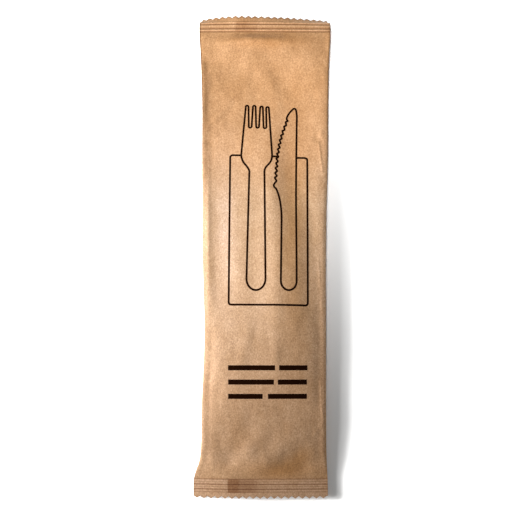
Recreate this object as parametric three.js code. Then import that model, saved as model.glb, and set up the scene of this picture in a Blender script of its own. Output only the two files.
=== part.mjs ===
import * as THREE from "three";

// Sealed cutlery pack. One sheet of kraft paper is folded into a flat tube round its contents, closed
// along the back by a fin seal and at both ends by crimped seals with a zigzag cut.
// It lies on its back. +Z comes out of the printed face, +Y points to the end whose flap curls down,
// +X is to the right when the printed face is read. Sizes are millimetres, angles are radians.

// Overall plan
const END_Y = 114.7;
const TOOTH_DEPTH = 0.9;
const HALF_TEETH = 40;
const LOW_HALF_TEETH = 38;
const LOW_OFFCUT = 0.5;
const SHEET = 0.15;

// End seals: where each seal meets the body, and the height of its middle
const TOP_SEAL_Y = 106.6;
const TOP_SEAL_Z = 4.4;
const LOW_SEAL_Y = -106.0;
const LOW_SEAL_Z = 2.0;

// Crimped ribs, and the stations that draw one rib
const RIB_PITCH = 2.2;
const RIB_HEIGHT = 0.16;
const RIB_COUNT = 2.5;
const RIB_STEPS = 4;

// Curl of the top flap: it bends down over a short run, most at its two corners
const CURL_START_Y = 112.1;
const CURL_RUN = 1.1;
const CURL_APEX_X = -11;
const CURL_LEFT_ANGLE = 1.3;
const CURL_RIGHT_ANGLE = 1.5;

// Edges of the pack in plan: left and right, from the low end to the top end
const LOW_LEFT_X = -32.4;
const LOW_RIGHT_X = 29.1;
const FLARE_LOW_Y = -104;
const FLARE_Y = -93;
const FOOT_LEFT_X = -29.3;
const FOOT_RIGHT_X = 28.6;
const WAIST_Y = -42;
const WAIST_LEFT_X = -28.2;
const WAIST_RIGHT_X = 28.9;
const CHEST_Y = 60;
const CHEST_LEFT_X = -29.8;
const CHEST_RIGHT_X = 30.8;
const TOP_LEFT_X = -31.4;
const TOP_RIGHT_X = 32.4;

// Section where the contents fill the pack
const FACE_Z = 8.1;
const CROWN = 0.5;
const SHOULDER_WIDTH = 7;
const WALL_TOP_Z = 4.9;
const WALL_FOOT_Z = 1.7;
const WALL_BULGE = 0.5;
const SOLE_WIDTH = 5;
const SOLE_HASTE = 1.5;

// Where the contents begin and end along the pack
const CONTENTS_TOP_Y = 70;
const CONTENTS_LOW_Y = -86;
const CONTENTS_SPANS = 9;

// Stations of the ramps between seals and contents, and of the flap, as shares of their length
const LOW_RAMP = [0.08, 0.2, 0.36, 0.56, 0.78, 1];
const TOP_RAMP = [0, 0.25, 0.5, 0.7, 0.85, 0.95, 1];
const FLAP = [0.35, 0.7, 1];

// Back fin: two layers folded flat towards the left
const FIN_ROOT_X = -2.3;
const FIN_FREE_X = -14.9;
const FIN_THICK = 2 * SHEET;
const FIN_GAP = 0.25;
const FIN_PRESSED_GAP = 0.02;
const FIN_LIE_WIDTH = 7;

const clamp = (value) => Math.min(1, Math.max(0, value));
const blend = (a, b, t) => a + (b - a) * t;
const ease = (t) => t * t * (3 - 2 * t);
const between = (a, b, y) => ease(clamp((y - a) / (b - a)));

// Plan of one edge: eased from the flared low seal to foot, waist, chest and top seal
function edge(y, low, foot, waist, chest, top) {
  if (y < FLARE_Y) {
    return blend(low, foot, between(FLARE_LOW_Y, FLARE_Y, y));
  }
  if (y < WAIST_Y) {
    return blend(foot, waist, between(FLARE_Y, WAIST_Y, y));
  }
  if (y < CHEST_Y) {
    return blend(waist, chest, between(WAIST_Y, CHEST_Y, y));
  }
  return blend(chest, top, between(CHEST_Y, TOP_SEAL_Y, y));
}

const leftEdge = (y) => edge(y, LOW_LEFT_X, FOOT_LEFT_X, WAIST_LEFT_X, CHEST_LEFT_X, TOP_LEFT_X);
const rightEdge = (y) => edge(y, LOW_RIGHT_X, FOOT_RIGHT_X, WAIST_RIGHT_X, CHEST_RIGHT_X, TOP_RIGHT_X);

// How far the section is filled: 0 in the seals, 1 over the contents
function fullness(y) {
  const low = clamp((y - LOW_SEAL_Y) / (CONTENTS_LOW_Y - LOW_SEAL_Y));
  const top = clamp((TOP_SEAL_Y - y) / (TOP_SEAL_Y - CONTENTS_TOP_Y));
  return Math.sin(low * Math.PI / 2) * Math.sin(top * Math.PI / 2);
}

// Height of the crimp at a distance into the seal
function rib(distance) {
  if (distance <= 0 || distance >= RIB_COUNT * RIB_PITCH) {
    return 0;
  }
  return RIB_HEIGHT * Math.sin(2 * Math.PI * distance / RIB_PITCH);
}

function sealHeight(y) {
  const middle = blend(LOW_SEAL_Z, TOP_SEAL_Z, between(LOW_SEAL_Y, TOP_SEAL_Y, y));
  return middle + rib(y - TOP_SEAL_Y) + rib(LOW_SEAL_Y - y);
}

// Quarter-round rise over a width, from 0 at the edge to 1
function round(distance, width) {
  const t = 1 - clamp(distance / width);
  return Math.sqrt(1 - t * t);
}

// Stations along the pack: close in the crimps, wide over the contents
function stations() {
  const list = [-END_Y];
  const steps = RIB_STEPS * RIB_COUNT;
  for (let i = steps; i >= 0; i -= 1) {
    list.push(LOW_SEAL_Y - i * RIB_PITCH / RIB_STEPS);
  }
  for (const share of LOW_RAMP) {
    list.push(blend(LOW_SEAL_Y, CONTENTS_LOW_Y, share));
  }
  for (let i = 1; i < CONTENTS_SPANS; i += 1) {
    list.push(blend(CONTENTS_LOW_Y, CONTENTS_TOP_Y, i / CONTENTS_SPANS));
  }
  for (const share of TOP_RAMP) {
    list.push(blend(CONTENTS_TOP_Y, TOP_SEAL_Y, share));
  }
  for (let i = 1; i < steps; i += 1) {
    list.push(TOP_SEAL_Y + i * RIB_PITCH / RIB_STEPS);
  }
  list.push(CURL_START_Y);
  for (const share of FLAP) {
    list.push(blend(CURL_START_Y, END_Y, share));
  }
  return list;
}

// The curled flap: the sheet beyond CURL_START_Y bends down in an arc, then runs straight on
function curl(point) {
  const run = point.y - CURL_START_Y;
  const left = point.x < CURL_APEX_X;
  const reach = left ? CURL_APEX_X - TOP_LEFT_X : TOP_RIGHT_X - CURL_APEX_X;
  const share = clamp(Math.abs(point.x - CURL_APEX_X) / reach);
  const angle = (left ? CURL_LEFT_ANGLE : CURL_RIGHT_ANGLE) * share;
  if (run <= 0 || angle < 1e-4) {
    return point;
  }
  const bend = angle * Math.min(1, run / CURL_RUN);
  const radius = CURL_RUN / angle;
  const straight = Math.max(0, run - CURL_RUN);
  const lift = point.z - TOP_SEAL_Z;
  point.y = CURL_START_Y + (radius + lift) * Math.sin(bend) + straight * Math.cos(bend);
  point.z = TOP_SEAL_Z + (radius + lift) * Math.cos(bend) - radius - straight * Math.sin(bend);
  return point;
}

// Columns across the pack. At the top end they are evenly spaced, two to a tooth. At the low end the
// knife leaves two teeth fewer in half, and the last columns share the narrow offcut at the right.
const columns = Array.from({ length: HALF_TEETH + 1 }, (unused, k) => k);

function lowShare(k) {
  const width = LOW_RIGHT_X - LOW_LEFT_X;
  const pitch = (width - LOW_OFFCUT) / LOW_HALF_TEETH;
  const spare = LOW_OFFCUT / (HALF_TEETH - LOW_HALF_TEETH);
  return (Math.min(k, LOW_HALF_TEETH) * pitch + Math.max(0, k - LOW_HALF_TEETH) * spare) / width;
}

const shareAt = (k, y) => blend(lowShare(k), k / HALF_TEETH, between(LOW_SEAL_Y, TOP_SEAL_Y, y));
const seamColumn = (x) => Math.round((x - WAIST_LEFT_X) / (WAIST_RIGHT_X - WAIST_LEFT_X) * HALF_TEETH);
const rootColumn = seamColumn(FIN_ROOT_X);
const freeColumn = seamColumn(FIN_FREE_X);

// One closed loop of the section. Order: left wall, printed face, right wall, back panel and the under
// side of the fin, the fin's upper side back to its root, the back panel left of the seam.
function section(y, last) {
  const full = fullness(y);
  const settled = clamp(full * SOLE_HASTE);
  const middle = sealHeight(y);
  const left = leftEdge(y);
  const right = rightEdge(y);
  const inset = WALL_BULGE * full;
  const columnX = (k) => blend(left + inset, right - inset, shareAt(k, y));
  const gap = blend(FIN_PRESSED_GAP, FIN_GAP, full);
  const isTip = (k) => k % 2 === 1 && (y > 0 || k < LOW_HALF_TEETH);
  const columnY = (k) => (last && !isTip(k) ? y - Math.sign(y) * TOOTH_DEPTH : y);
  const face = (k) => {
    const x = columnX(k);
    const inward = Math.min(x - left, right - x);
    const across = 2 * k / HALF_TEETH - 1;
    const filled = blend(WALL_TOP_Z, FACE_Z, round(inward, SHOULDER_WIDTH)) + CROWN * (1 - across * across);
    return blend(middle + SHEET, filled, full);
  };
  const sole = (k) => {
    const x = columnX(k);
    const inward = Math.min(x - left, right - x);
    return WALL_FOOT_Z * (1 - round(inward, SOLE_WIDTH));
  };
  // height of the back panel over the floor where the fin lies under it
  const panelLift = (k) => {
    if (k >= rootColumn) {
      return 0;
    }
    const beyond = columnX(freeColumn) - columnX(k);
    return (FIN_THICK + gap) * (1 - ease(clamp(beyond / FIN_LIE_WIDTH)));
  };
  const points = [];
  const put = (x, yy, z) => points.push(curl(new THREE.Vector3(x, yy, z)));
  const wallHigh = blend(middle + SHEET, WALL_TOP_Z, full);
  const wallLow = blend(middle - SHEET, WALL_FOOT_Z, settled);
  const wallZ = (wallHigh + wallLow) / 2;
  put(left, columnY(0), wallZ);
  for (const k of columns) {
    put(columnX(k), columnY(k), face(k));
  }
  put(right, columnY(HALF_TEETH), wallZ);
  for (let k = HALF_TEETH; k > rootColumn; k -= 1) {
    put(columnX(k), columnY(k), blend(middle - SHEET, sole(k), settled));
  }
  for (let k = rootColumn; k >= freeColumn; k -= 1) {
    put(columnX(k), columnY(k), blend(middle - SHEET - gap - FIN_THICK, 0, settled));
  }
  for (let k = freeColumn; k < rootColumn; k += 1) {
    put(columnX(k), columnY(k), blend(middle - SHEET - gap, FIN_THICK, settled));
  }
  put(columnX(rootColumn), columnY(rootColumn), blend(middle - SHEET - gap, FIN_THICK, settled));
  for (let k = rootColumn - 1; k >= 0; k -= 1) {
    put(columnX(k), columnY(k), blend(middle - SHEET, sole(k) + panelLift(k), settled));
  }
  return points;
}

// Index of each run of the loop
const faceAt = (k) => 1 + k;
const rightWallAt = HALF_TEETH + 2;
const soleAt = (k) => rightWallAt + 1 + HALF_TEETH - k;
const finTopAt = (k) => soleAt(freeColumn) + 1 + k - freeColumn;
const panelAt = (k) => finTopAt(rootColumn) + rootColumn - k;

// Caps one end: the zigzag wall between the printed face and the back, and the wall of the fin
function cap(triangles, start, flip) {
  const add = (a, b, c) => {
    triangles.push(flip ? [start + a, start + c, start + b] : [start + a, start + b, start + c]);
  };
  const quad = (a, b, c, d) => {
    add(a, b, c);
    add(a, c, d);
  };
  add(0, faceAt(0), panelAt(0));
  for (let k = 0; k < rootColumn; k += 1) {
    const under = k + 1 === rootColumn ? finTopAt(rootColumn) : panelAt(k + 1);
    quad(faceAt(k), faceAt(k + 1), under, panelAt(k));
  }
  for (let k = freeColumn; k < rootColumn; k += 1) {
    quad(finTopAt(k), finTopAt(k + 1), soleAt(k + 1), soleAt(k));
  }
  const apex = finTopAt(rootColumn);
  add(apex, faceAt(rootColumn), faceAt(rootColumn + 1));
  add(apex, faceAt(rootColumn + 1), soleAt(rootColumn + 1));
  add(apex, soleAt(rootColumn + 1), soleAt(rootColumn));
  for (let k = rootColumn + 1; k < HALF_TEETH; k += 1) {
    quad(faceAt(k), faceAt(k + 1), soleAt(k + 1), soleAt(k));
  }
  add(faceAt(HALF_TEETH), rightWallAt, soleAt(HALF_TEETH));
}

function packGeometry() {
  const rows = stations();
  const loops = rows.map((y, i) => section(y, i === 0 || i === rows.length - 1));
  const size = loops[0].length;
  const triangles = [];
  for (let i = 0; i + 1 < loops.length; i += 1) {
    for (let j = 0; j < size; j += 1) {
      const a = i * size + j;
      const b = i * size + (j + 1) % size;
      triangles.push([a, b, b + size], [a, b + size, a + size]);
    }
  }
  cap(triangles, 0, true);
  cap(triangles, (loops.length - 1) * size, false);
  const geometry = new THREE.BufferGeometry();
  const positions = loops.flat().flatMap((point) => [point.x, point.y, point.z]);
  geometry.setAttribute("position", new THREE.Float32BufferAttribute(positions, 3));
  geometry.setIndex(triangles.flat());
  geometry.computeVertexNormals();
  return geometry;
}

const paper = new THREE.MeshStandardMaterial({ color: 0xc99b6d, roughness: 0.85, metalness: 0 });
const pack = new THREE.Mesh(packGeometry(), paper);
pack.name = "sealed_pack";

const group = new THREE.Group();
group.name = "cutlery_pack";
group.add(pack);

export default group;
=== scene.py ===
import math

import bpy
import numpy as np
from bpy.props import FloatProperty, FloatVectorProperty, IntProperty, PointerProperty
from bpy.types import Operator, Panel, PropertyGroup
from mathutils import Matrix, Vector, noise


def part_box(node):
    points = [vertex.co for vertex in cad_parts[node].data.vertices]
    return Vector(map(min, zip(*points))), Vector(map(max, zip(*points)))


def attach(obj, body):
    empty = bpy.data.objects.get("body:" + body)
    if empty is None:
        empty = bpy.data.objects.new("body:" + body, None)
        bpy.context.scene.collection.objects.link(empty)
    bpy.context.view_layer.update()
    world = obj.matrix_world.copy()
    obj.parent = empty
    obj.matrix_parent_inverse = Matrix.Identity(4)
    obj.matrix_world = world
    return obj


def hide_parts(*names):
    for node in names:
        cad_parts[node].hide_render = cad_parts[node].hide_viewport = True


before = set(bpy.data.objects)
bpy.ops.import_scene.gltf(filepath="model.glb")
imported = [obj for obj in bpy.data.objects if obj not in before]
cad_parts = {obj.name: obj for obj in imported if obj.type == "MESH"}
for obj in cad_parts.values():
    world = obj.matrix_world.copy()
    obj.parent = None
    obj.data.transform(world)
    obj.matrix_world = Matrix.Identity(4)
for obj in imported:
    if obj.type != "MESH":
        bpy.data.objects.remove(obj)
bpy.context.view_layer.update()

bl_info = {
    "name": "Sealed Cutlery Pack",
    "version": (1, 0, 0),
    "blender": (4, 5, 0),
    "location": "3D View > Sidebar > Cutlery Pack",
    "description": "Builds a sealed kraft-paper cutlery pouch with its print, and a stage",
    "category": "Add Mesh",
}

MM = 0.001
NODE = "sealed_pack"

# Corners of the plain solid that the pouch takes the place of, in millimetres
BOX_LOW, BOX_HIGH = ([round(c / MM, 1) for c in corner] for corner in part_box(NODE))

# Half teeth of the top and the low zigzag, and columns and rows of the pouch's mesh
HALF_TEETH = 40
LOW_HALF_TEETH = 38
COLUMNS_PER_HALF_TOOTH = 3
COLUMNS = HALF_TEETH * COLUMNS_PER_HALF_TOOTH
CRIMP_ROWS = 42
FLAP_ROWS = 9
BODY_ROWS = 232


# ----------------------------------------------------------------------
# Sizes and colours
# ----------------------------------------------------------------------

def length_prop(label, text, default):
    """A size in millimetres, stored in metres."""
    return FloatProperty(name=label, description=text, default=default * MM, min=0.0,
                         unit="LENGTH", precision=5)


def colour_prop(label, text, default):
    """A linear RGB colour."""
    return FloatVectorProperty(name=label, description=text, default=default, size=3,
                               subtype="COLOR", min=0.0, max=1.0)


def power_prop(label, text, default):
    """The power of a light, in watts."""
    return FloatProperty(name=label, description=text, default=default, min=0.0, unit="POWER")


def angle_prop(label, text, degrees):
    return FloatProperty(name=label, description=text, default=math.radians(degrees),
                         subtype="ANGLE")


class PouchSizes(PropertyGroup):
    """Sizes of the paper pouch"""
    tooth_depth: length_prop("Tooth depth", "Depth of the zigzag cut", 1.1)
    corner: length_prop("Corner", "How far the corners of the top flap are rounded", 1.5)
    low_offcut: length_prop("Low offcut", "Straight bit at the right of the low zigzag", 0.5)
    sheet: length_prop("Sheet", "Half the thickness of a sealed end", 0.13)
    rib_height: length_prop("Rib height", "Depth of the lines pressed into the seals", 0.24)
    wall_width: length_prop("Wall width", "How far the side walls round inwards", 2.6)
    fin_width: length_prop("Fin width", "Width of the folded back fin", 12.6)
    fin_gap: length_prop("Fin gap", "Gap under the free edge of the fin", 0.25)
    crumple: length_prop("Crumple", "Height of the soft random crumple of the paper", 0.205)
    seed: IntProperty(name="Seed", description="Seed of the crumple", default=7)


class PrintSizes(PropertyGroup):
    """Sizes of the printed drawing"""
    stroke: length_prop("Stroke", "Width of the printed outline", 0.93)
    film: length_prop("Film", "Thickness of the ink film", 0.035)
    bar_height: length_prop("Bar height", "Height of the plain printed bars", 2.3)


class PackColours(PropertyGroup):
    """Colours of paper and ink"""
    kraft: colour_prop("Kraft", "Mid colour of the paper", (0.590, 0.342, 0.178))
    kraft_dark: colour_prop("Kraft dark", "Darker fibres of the paper", (0.400, 0.212, 0.103))
    kraft_light: colour_prop("Kraft light", "Paler fibres of the paper", (0.760, 0.486, 0.282))
    ink: colour_prop("Ink", "Printing ink", (0.010, 0.003, 0.001))


class StageLook(PropertyGroup):
    """Floor, lights and camera"""
    floor: colour_prop("Floor", "Colour of the floor", (0.93, 0.93, 0.925))
    key_power: power_prop("Key power", "Power of the softbox on the left", 2.35)
    key_height: angle_prop("Key height", "Angle of the key over the floor", 23)
    spot_power: power_prop("Spot power", "Power of the light on the upper half", 13.8)
    wash_power: power_prop("Wash power", "Power of the light on the floor", 26.0)
    over_power: power_prop("Over power", "Power of the light over the top end", 22.0)
    lift_power: power_prop("Lift power", "Power of the light by the low end", 2.2)
    fill_strength: FloatProperty(name="Fill strength", description="Strength of the sky light",
                                 default=0.175, min=0.0)
    distance: length_prop("Camera distance", "Distance from camera to pack", 400.0)
    lean: angle_prop("Camera lean", "Lean of the camera off the vertical", 7.1)
    lens: FloatProperty(name="Lens", description="Focal length", default=59.7, min=1.0,
                        unit="CAMERA")


class CutleryPack(PropertyGroup):
    """All settings of the pack"""
    pouch: PointerProperty(type=PouchSizes)
    print: PointerProperty(type=PrintSizes)
    colours: PointerProperty(type=PackColours)
    stage: PointerProperty(type=StageLook)


# ----------------------------------------------------------------------
# Form of the pouch. Everything here is in millimetres, in the pack's own frame.
# ----------------------------------------------------------------------

END_Y = BOX_HIGH[1]
TOP_SEAL_Y = 106.6
LOW_SEAL_Y = -106.0
CRIMP_LENGTH = 6.2
TOP_CRIMP_LENGTH = 5.5
LOW_CRIMP_END_Y = LOW_SEAL_Y - CRIMP_LENGTH
TOP_CRIMP_END_Y = TOP_SEAL_Y + TOP_CRIMP_LENGTH

# Corners of the low and the top zigzag, across the pack
LOW_LEFT_X, LOW_RIGHT_X = BOX_LOW[0], 29.1
TOP_LEFT_X, TOP_RIGHT_X = -31.4, BOX_HIGH[0]

# The top end bends down to both sides of an apex, to an angle in radians at its left and its
# right corner. It bends in stretches along the pack: (share of the angle, start, run)
CURL_START_Y = 102.0
CURL_APEX_X = -12.4
CURL_LEFT, CURL_RIGHT = 0.85, 1.05
CURL_PARTS = ((0.22, CURL_START_Y, 8.0), (0.78, 109.8, 2.6), (-0.45, 112.6, 1.2))
CURL_STEPS = 24

# Side folds in plan, as (along, across) pairs from the low end to the top end
LEFT_FOLD = ((-115, LOW_LEFT_X), (-106, LOW_LEFT_X), (-102.5, -31.5), (-98, -29.9), (-92, -29.2),
             (-76, -29.0), (-42, -27.9), (0, -29.1), (40, -29.6), (75, -29.9), (93, -30.6),
             (107, TOP_LEFT_X), (115, TOP_LEFT_X))
RIGHT_FOLD = ((-115, LOW_RIGHT_X), (-106, 29.0), (-96, 28.6), (-76, 28.6), (-42, 28.9),
              (0, 29.3), (24, 29.9), (43, 30.6), (75, 31.1), (92, 31.6), (107, TOP_RIGHT_X),
              (115, TOP_RIGHT_X))

# Height of the side folds over the floor, and how far the paper stands over them where the
# side walls end, as (along, height) pairs
FOLD_HEIGHT = ((-115, 2.0), (-106, 2.0), (-92, 2.7), (-60, 3.0), (50, 3.2), (90, 4.0),
               (106.6, 4.7), (115, 4.7))
LEFT_SHOULDER = ((-106, 0.0), (-98, 0.7), (-86, 1.0), (-60, 1.1), (-20, 1.2), (20, 1.2),
                 (38, 0.6), (52, 0.1), (90, 0.0), (106.6, 0.0))
RIGHT_SHOULDER = ((-106, 0.0), (-98, 0.5), (-86, 0.8), (-40, 1.4), (20, 1.5), (50, 0.7),
                  (80, 0.3), (100, 0.1), (106.6, 0.0))

# The low seal arches up between its corners, most to the left of the middle, and its left
# corner droops; both fade out along the pack
LOW_ARCH, ARCH_RUN, ARCH_SKEW = 1.3, 22.0, 0.78
LOW_DROOP, DROOP_RUN, DROOP_WIDTH = 1.3, 12.0, 18.0

# Roundness of the side walls, as the exponents of a flattened ellipse, how far the back rounds
# up to the side folds, and how much more closely the columns stand at the sides
WALL_IN, WALL_UP = 2.4, 1.8
BACK_ROUND = 5.0
CROWDING = 0.62

# Height of the lip where the left side is pinched flat, as (along, height) pairs
LEFT_LIP = ((-106, 0.0), (24, 0.0), (40, 0.6), (60, 0.7), (84, 0.7), (97, 0.0), (106.6, 0.0))

# Lines that the paper follows over the contents, from left to right. Each is given at places
# along the pack as (along, across, height over the shoulders).
GUIDES = (
    # gutter inside the left side
    ((-106, -24, 0.0), (-98, -24, 0.3), (-88, -24, 0.3), (-76, -23.5, 0.7), (-60, -23, 1.2),
     (-45, -22.5, 1.1), (-30, -22.5, 0.5), (-12, -22.5, 0.0), (0, -22.8, -0.1), (28, -23, -0.2),
     (42, -22.5, -0.3), (54, -22, -0.4), (72, -22, -0.6), (88, -22, -0.7), (98, -22, 0.1),
     (106.6, -22, 0.0)),
    # left shoulder of the fork and the napkin
    ((-106, -14, 0.0), (-98, -14, 0.6), (-88, -14, 0.8), (-76, -14, 1.8), (-60, -15, 2.8),
     (-45, -15, 2.8), (-30, -14, 2.2), (-12, -13, 2.6), (0, -13, 2.6), (15, -13, 2.1),
     (28, -13, 1.2), (42, -13, 0.1), (54, -13, -0.2), (63, -13, -1.0), (72, -13, -1.3),
     (88, -12, -1.4), (98, -13, 0.4), (106.6, -13, 0.0)),
    # middle of the fork
    ((-106, -4, 0.0), (-98, -5, 0.9), (-88, -5, 1.0), (-76, -5, 2.0), (-60, -5, 3.1),
     (-45, -5, 3.5), (-30, -5, 3.3), (-12, -5, 3.1), (0, -5, 3.0), (15, -5, 2.6),
     (28, -5, 1.8), (42, -5, 0.7), (54, -5, 0.3), (63, -5, -0.7), (72, -4, -1.6),
     (88, -4, -1.8), (98, -4, 0.2), (106.6, -4, 0.0)),
    # crest, along the knife's edge
    ((-106, 5, 0.0), (-98, 4, 0.8), (-88, 4, 1.3), (-76, 4, 1.8), (-60, 5, 3.2),
     (-45, 6, 3.75), (-30, 7, 4.2), (-12, 7, 4.15), (0, 6.5, 4.1), (15, 5.5, 3.4),
     (28, 4.5, 2.4), (42, 3, 0.9), (54, 2, 0.0), (63, 3.5, -0.9), (72, 5, -1.9),
     (88, 6, -2.0), (98, 4, 0.1), (106.6, 5, 0.0)),
    # right flank, over the knife's blade
    ((-106, 14, 0.0), (-98, 14, 0.6), (-88, 14, 1.2), (-76, 14, 1.2), (-60, 14, 2.5),
     (-45, 14, 3.0), (-30, 14, 3.3), (-12, 14, 3.05), (0, 14, 2.75), (15, 14, 1.4),
     (28, 14, 0.5), (42, 14, -0.5), (54, 14, -0.9), (63, 14, -1.2), (72, 14, -1.6),
     (88, 14, -1.4), (98, 14, 0.1), (106.6, 14, 0.0)),
    # gutter inside the right side
    ((-106, 22, 0.0), (-98, 22, 0.3), (-88, 22, 0.5), (-76, 22, 0.5), (-60, 22, 1.1),
     (-45, 22, 1.35), (-30, 22, 1.1), (-12, 22, 0.65), (0, 22, 0.5), (15, 21, 0.0),
     (28, 20, 0.0), (42, 21, -0.5), (54, 22, -0.5), (72, 23, -0.7), (88, 22, -0.4),
     (98, 22, 0.1), (106.6, 22, 0.0)),
)

# Soft swells and dents of the paper: (across, along, half length, half width, turn in degrees,
# height). The half length runs along the turned direction, 0 degrees being across the pack.
SWELLS = (
    # long folds beside the contents
    (-26.4, 12, 34, 1.1, 90, 0.30),
    (25.3, 22, 26, 1.6, 90, 0.12),
    (-10.0, -14, 9, 2.6, 90, 0.18),
    (5.2, -20, 20, 2.6, 90, 0.22),
    (-7.6, -42, 7, 3.0, 80, 0.30),
    # puffs just inside the top seal
    (-3, 101.6, 15, 2.8, 0, 2.5),
    (-17, 97, 5, 3.0, 35, 0.40),
    (-20.5, 98, 5, 3.0, 20, 0.35),
    (0.5, 97, 6, 3.5, 10, -0.40),
    (-5.5, 93, 6, 3.2, 55, 0.20),
    (10, 96, 6, 3.4, 40, 0.40),
    # slack folds of the empty top
    (0.0, 86, 10, 4.0, -61, 0.42),
    (8.8, 83.5, 12, 4.4, -61, -0.34),
    (-27, 91, 4.5, 1.8, 20, -0.45),
    (-23, 62.5, 6, 1.4, 42, 0.42),
    (-20, 64.5, 6, 1.4, 42, -0.42),
    (27.5, 56, 2.2, 1.4, 60, 0.40),
    (25.2, 53.5, 1.8, 1.2, 0, -0.35),
    # folds that run into the low seal
    (-7.0, -94, 10, 4.2, 60, 0.70),
    (-16.0, -97, 8, 3.4, 62, -0.35),
    (1.5, -97.5, 11, 4.6, 33, 1.25),
    (-7.0, -84.5, 8, 5.0, 70, -0.45),
    (17.5, -101.5, 7, 3.2, 15, -0.60),
    (-21.0, -91, 6, 2.6, 80, -0.40),
    (-21.0, -66, 5, 2.4, 85, -0.30),
    # slack below the print
    (-10.0, -51, 4, 2.2, 85, 0.25),
    (4.8, -50, 5, 2.4, 85, 0.30),
    # ridge above the left corner of the low seal
    (-23, -95, 7, 2.2, 70, 0.25),
)

# Spots of painted shade, where the paper is made darker and warmer, and of painted highlight, where
# it is made paler and cooler, in the same terms
WARM_SHADE_SPOTS = ((13.8, 16, 42, 6.2, 88, 0.90), (16, -32, 22, 6.0, 90, 0.35),
              (8.0, -101.8, 13, 4.2, 3, 1.0), (16.5, -95.5, 6.5, 4.0, 25, 0.8),
              (-12, -88, 6, 4.5, 90, 0.35), (4, 102, 18, 3.2, 0, 0.55))
# painted highlight: paler, cooler paper over the lit left flank
SHEEN_SPOTS = ((-18, 8, 36, 5.0, 90, 1.0),)

# Sharp creases: (start across, start along, end across, end along, half width, height)
CREASES = (
    (-30.2, 85.2, -26.4, 88.0, 0.50, -0.60),
    (-28.6, 50.8, -22.5, 52.6, 0.5, -0.55),
    (26.2, 51.5, 27.9, 37.5, 0.45, 0.45),
    (25.6, -4.0, 26.2, -17.5, 0.35, 0.22),
    (26.7, -23.5, 27.1, -28.0, 0.35, 0.20),
    (26.0, -61.5, 26.3, -70.0, 0.35, 0.20),
    (26.2, -72.0, 27.7, -80.5, 0.40, 0.25),
    (27.9, -80.5, 22.5, -86.0, 0.50, 0.30),
    (-3.0, -36.0, -6.5, -47.0, 0.80, -0.15),
)

# Fold of the back fin, how far beyond its free edge the back comes down again, where the
# doubled fin starts to show through the low and the top seal, and how wide it shows strongly
FIN_ROOT_X = -2.3
FIN_RAMP = 7.0
FIN_EDGE_LOW, FIN_EDGE_TOP = -17.1, -13.9
FIN_STRONG = 6.2

# Random crumple in three layers, soft waves, finer ones and sharp-edged crinkles, each as
# (share of the height, scale across, scale along, shift for each seed)
WAVES = (1.0, 0.075, 0.05, 3.7)
FINER = (0.48, 0.19, 0.11, 1.3)
CRINKLES = (0.60, 0.26, 0.18, 2.1)


def along(y, knots):
    """Smooth curve through a few knots, level at the ends."""
    ys = np.array([k[0] for k in knots], float)
    vs = np.array([k[1] for k in knots], float)
    slopes = np.gradient(vs, ys)
    slopes[0] = slopes[-1] = 0.0
    y = np.clip(y, ys[0], ys[-1])
    i = np.clip(np.searchsorted(ys, y, side="right") - 1, 0, len(ys) - 2)
    span = ys[i + 1] - ys[i]
    t = (y - ys[i]) / span
    a = (1 + 2 * t) * (1 - t) ** 2 * vs[i] + t * (1 - t) ** 2 * span * slopes[i]
    b = t * t * (3 - 2 * t) * vs[i + 1] + t * t * (t - 1) * span * slopes[i + 1]
    return a + b


def ease(t):
    """Soft step from 0 to 1."""
    t = np.clip(t, 0.0, 1.0)
    return t * t * (3 - 2 * t)


def blend(a, b, t):
    return a + (b - a) * t


# Lines pressed into the seals, outwards from each seal's inner edge: (place, half width, depth)
LOW_LINES = ((0.0, 0.19, 0.75), (1.2, 0.15, 0.6), (2.35, 0.24, 1.0), (3.4, 0.15, 0.6),
             (4.5, 0.24, 1.0), (5.75, 0.16, 0.7))
TOP_LINES = ((0.0, 0.30, 0.9), (1.5, 0.36, 1.0), (2.3, 0.14, 0.25), (3.75, 0.34, 1.0),
             (5.2, 0.16, 0.35))
# Painted highlights along the ribs of the top seal: (place, half width)
TOP_RIB_HIGHLIGHTS = ((0.75, 0.38), (2.9, 0.50), (4.4, 0.36))


def pressed_lines(y):
    """How deep the pressed lines of both seals are at each place, from 0 to 1; the paper's colour
    is also darkened by this, partly the pressed paper's own tone and partly painted shade.
    """
    out = np.zeros_like(y)
    for start, towards, lines in ((LOW_SEAL_Y, -1, LOW_LINES), (TOP_SEAL_Y, 1, TOP_LINES)):
        for place, half_width, depth in lines:
            off = (y - start) * towards - place
            out = np.maximum(out, depth * np.exp(-(off / half_width) ** 2))
    return out


def painted_rib_highlights(y):
    """Where painted highlights lie along the top seal's ribs, from 0 to 1."""
    out = np.zeros_like(y)
    for place, half_width in TOP_RIB_HIGHLIGHTS:
        out = np.maximum(out, np.exp(-((y - TOP_SEAL_Y - place) / half_width) ** 2))
    return out


def crimp(y, sizes):
    """Height of the crimped seals: rounded ribs between the pressed lines."""
    low = LOW_SEAL_Y - y
    top = y - TOP_SEAL_Y
    inside = np.maximum(ease(low / 0.4) * ease((CRIMP_LENGTH - low) / 0.4),
                        ease(top / 0.4) * ease((TOP_CRIMP_LENGTH - top) / 0.4))
    return sizes.rib_height / MM * (0.35 * inside - pressed_lines(y))


def over_contents(x, rows, left, right):
    """Height of the paper over its shoulders, along smooth curves through the guide lines."""
    lip = along(rows, LEFT_LIP)
    places = [along(rows, [(y, across) for y, across, _ in guide]) for guide in GUIDES]
    heights = [along(rows, [(y, height) for y, _, height in guide]) for guide in GUIDES]
    out = np.empty_like(x)
    for j in range(len(rows)):
        knots = [(left[j] - 1, 0.6 * lip[j]), (left[j] + 0.7, lip[j]), (left[j] + 3.0, 0.0)]
        knots += [(place[j], height[j]) for place, height in zip(places, heights)]
        knots += [(right[j] - 2.5, 0.0), (right[j] + 1, 0.0)]
        out[j] = along(x[j], knots)
    return out


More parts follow.
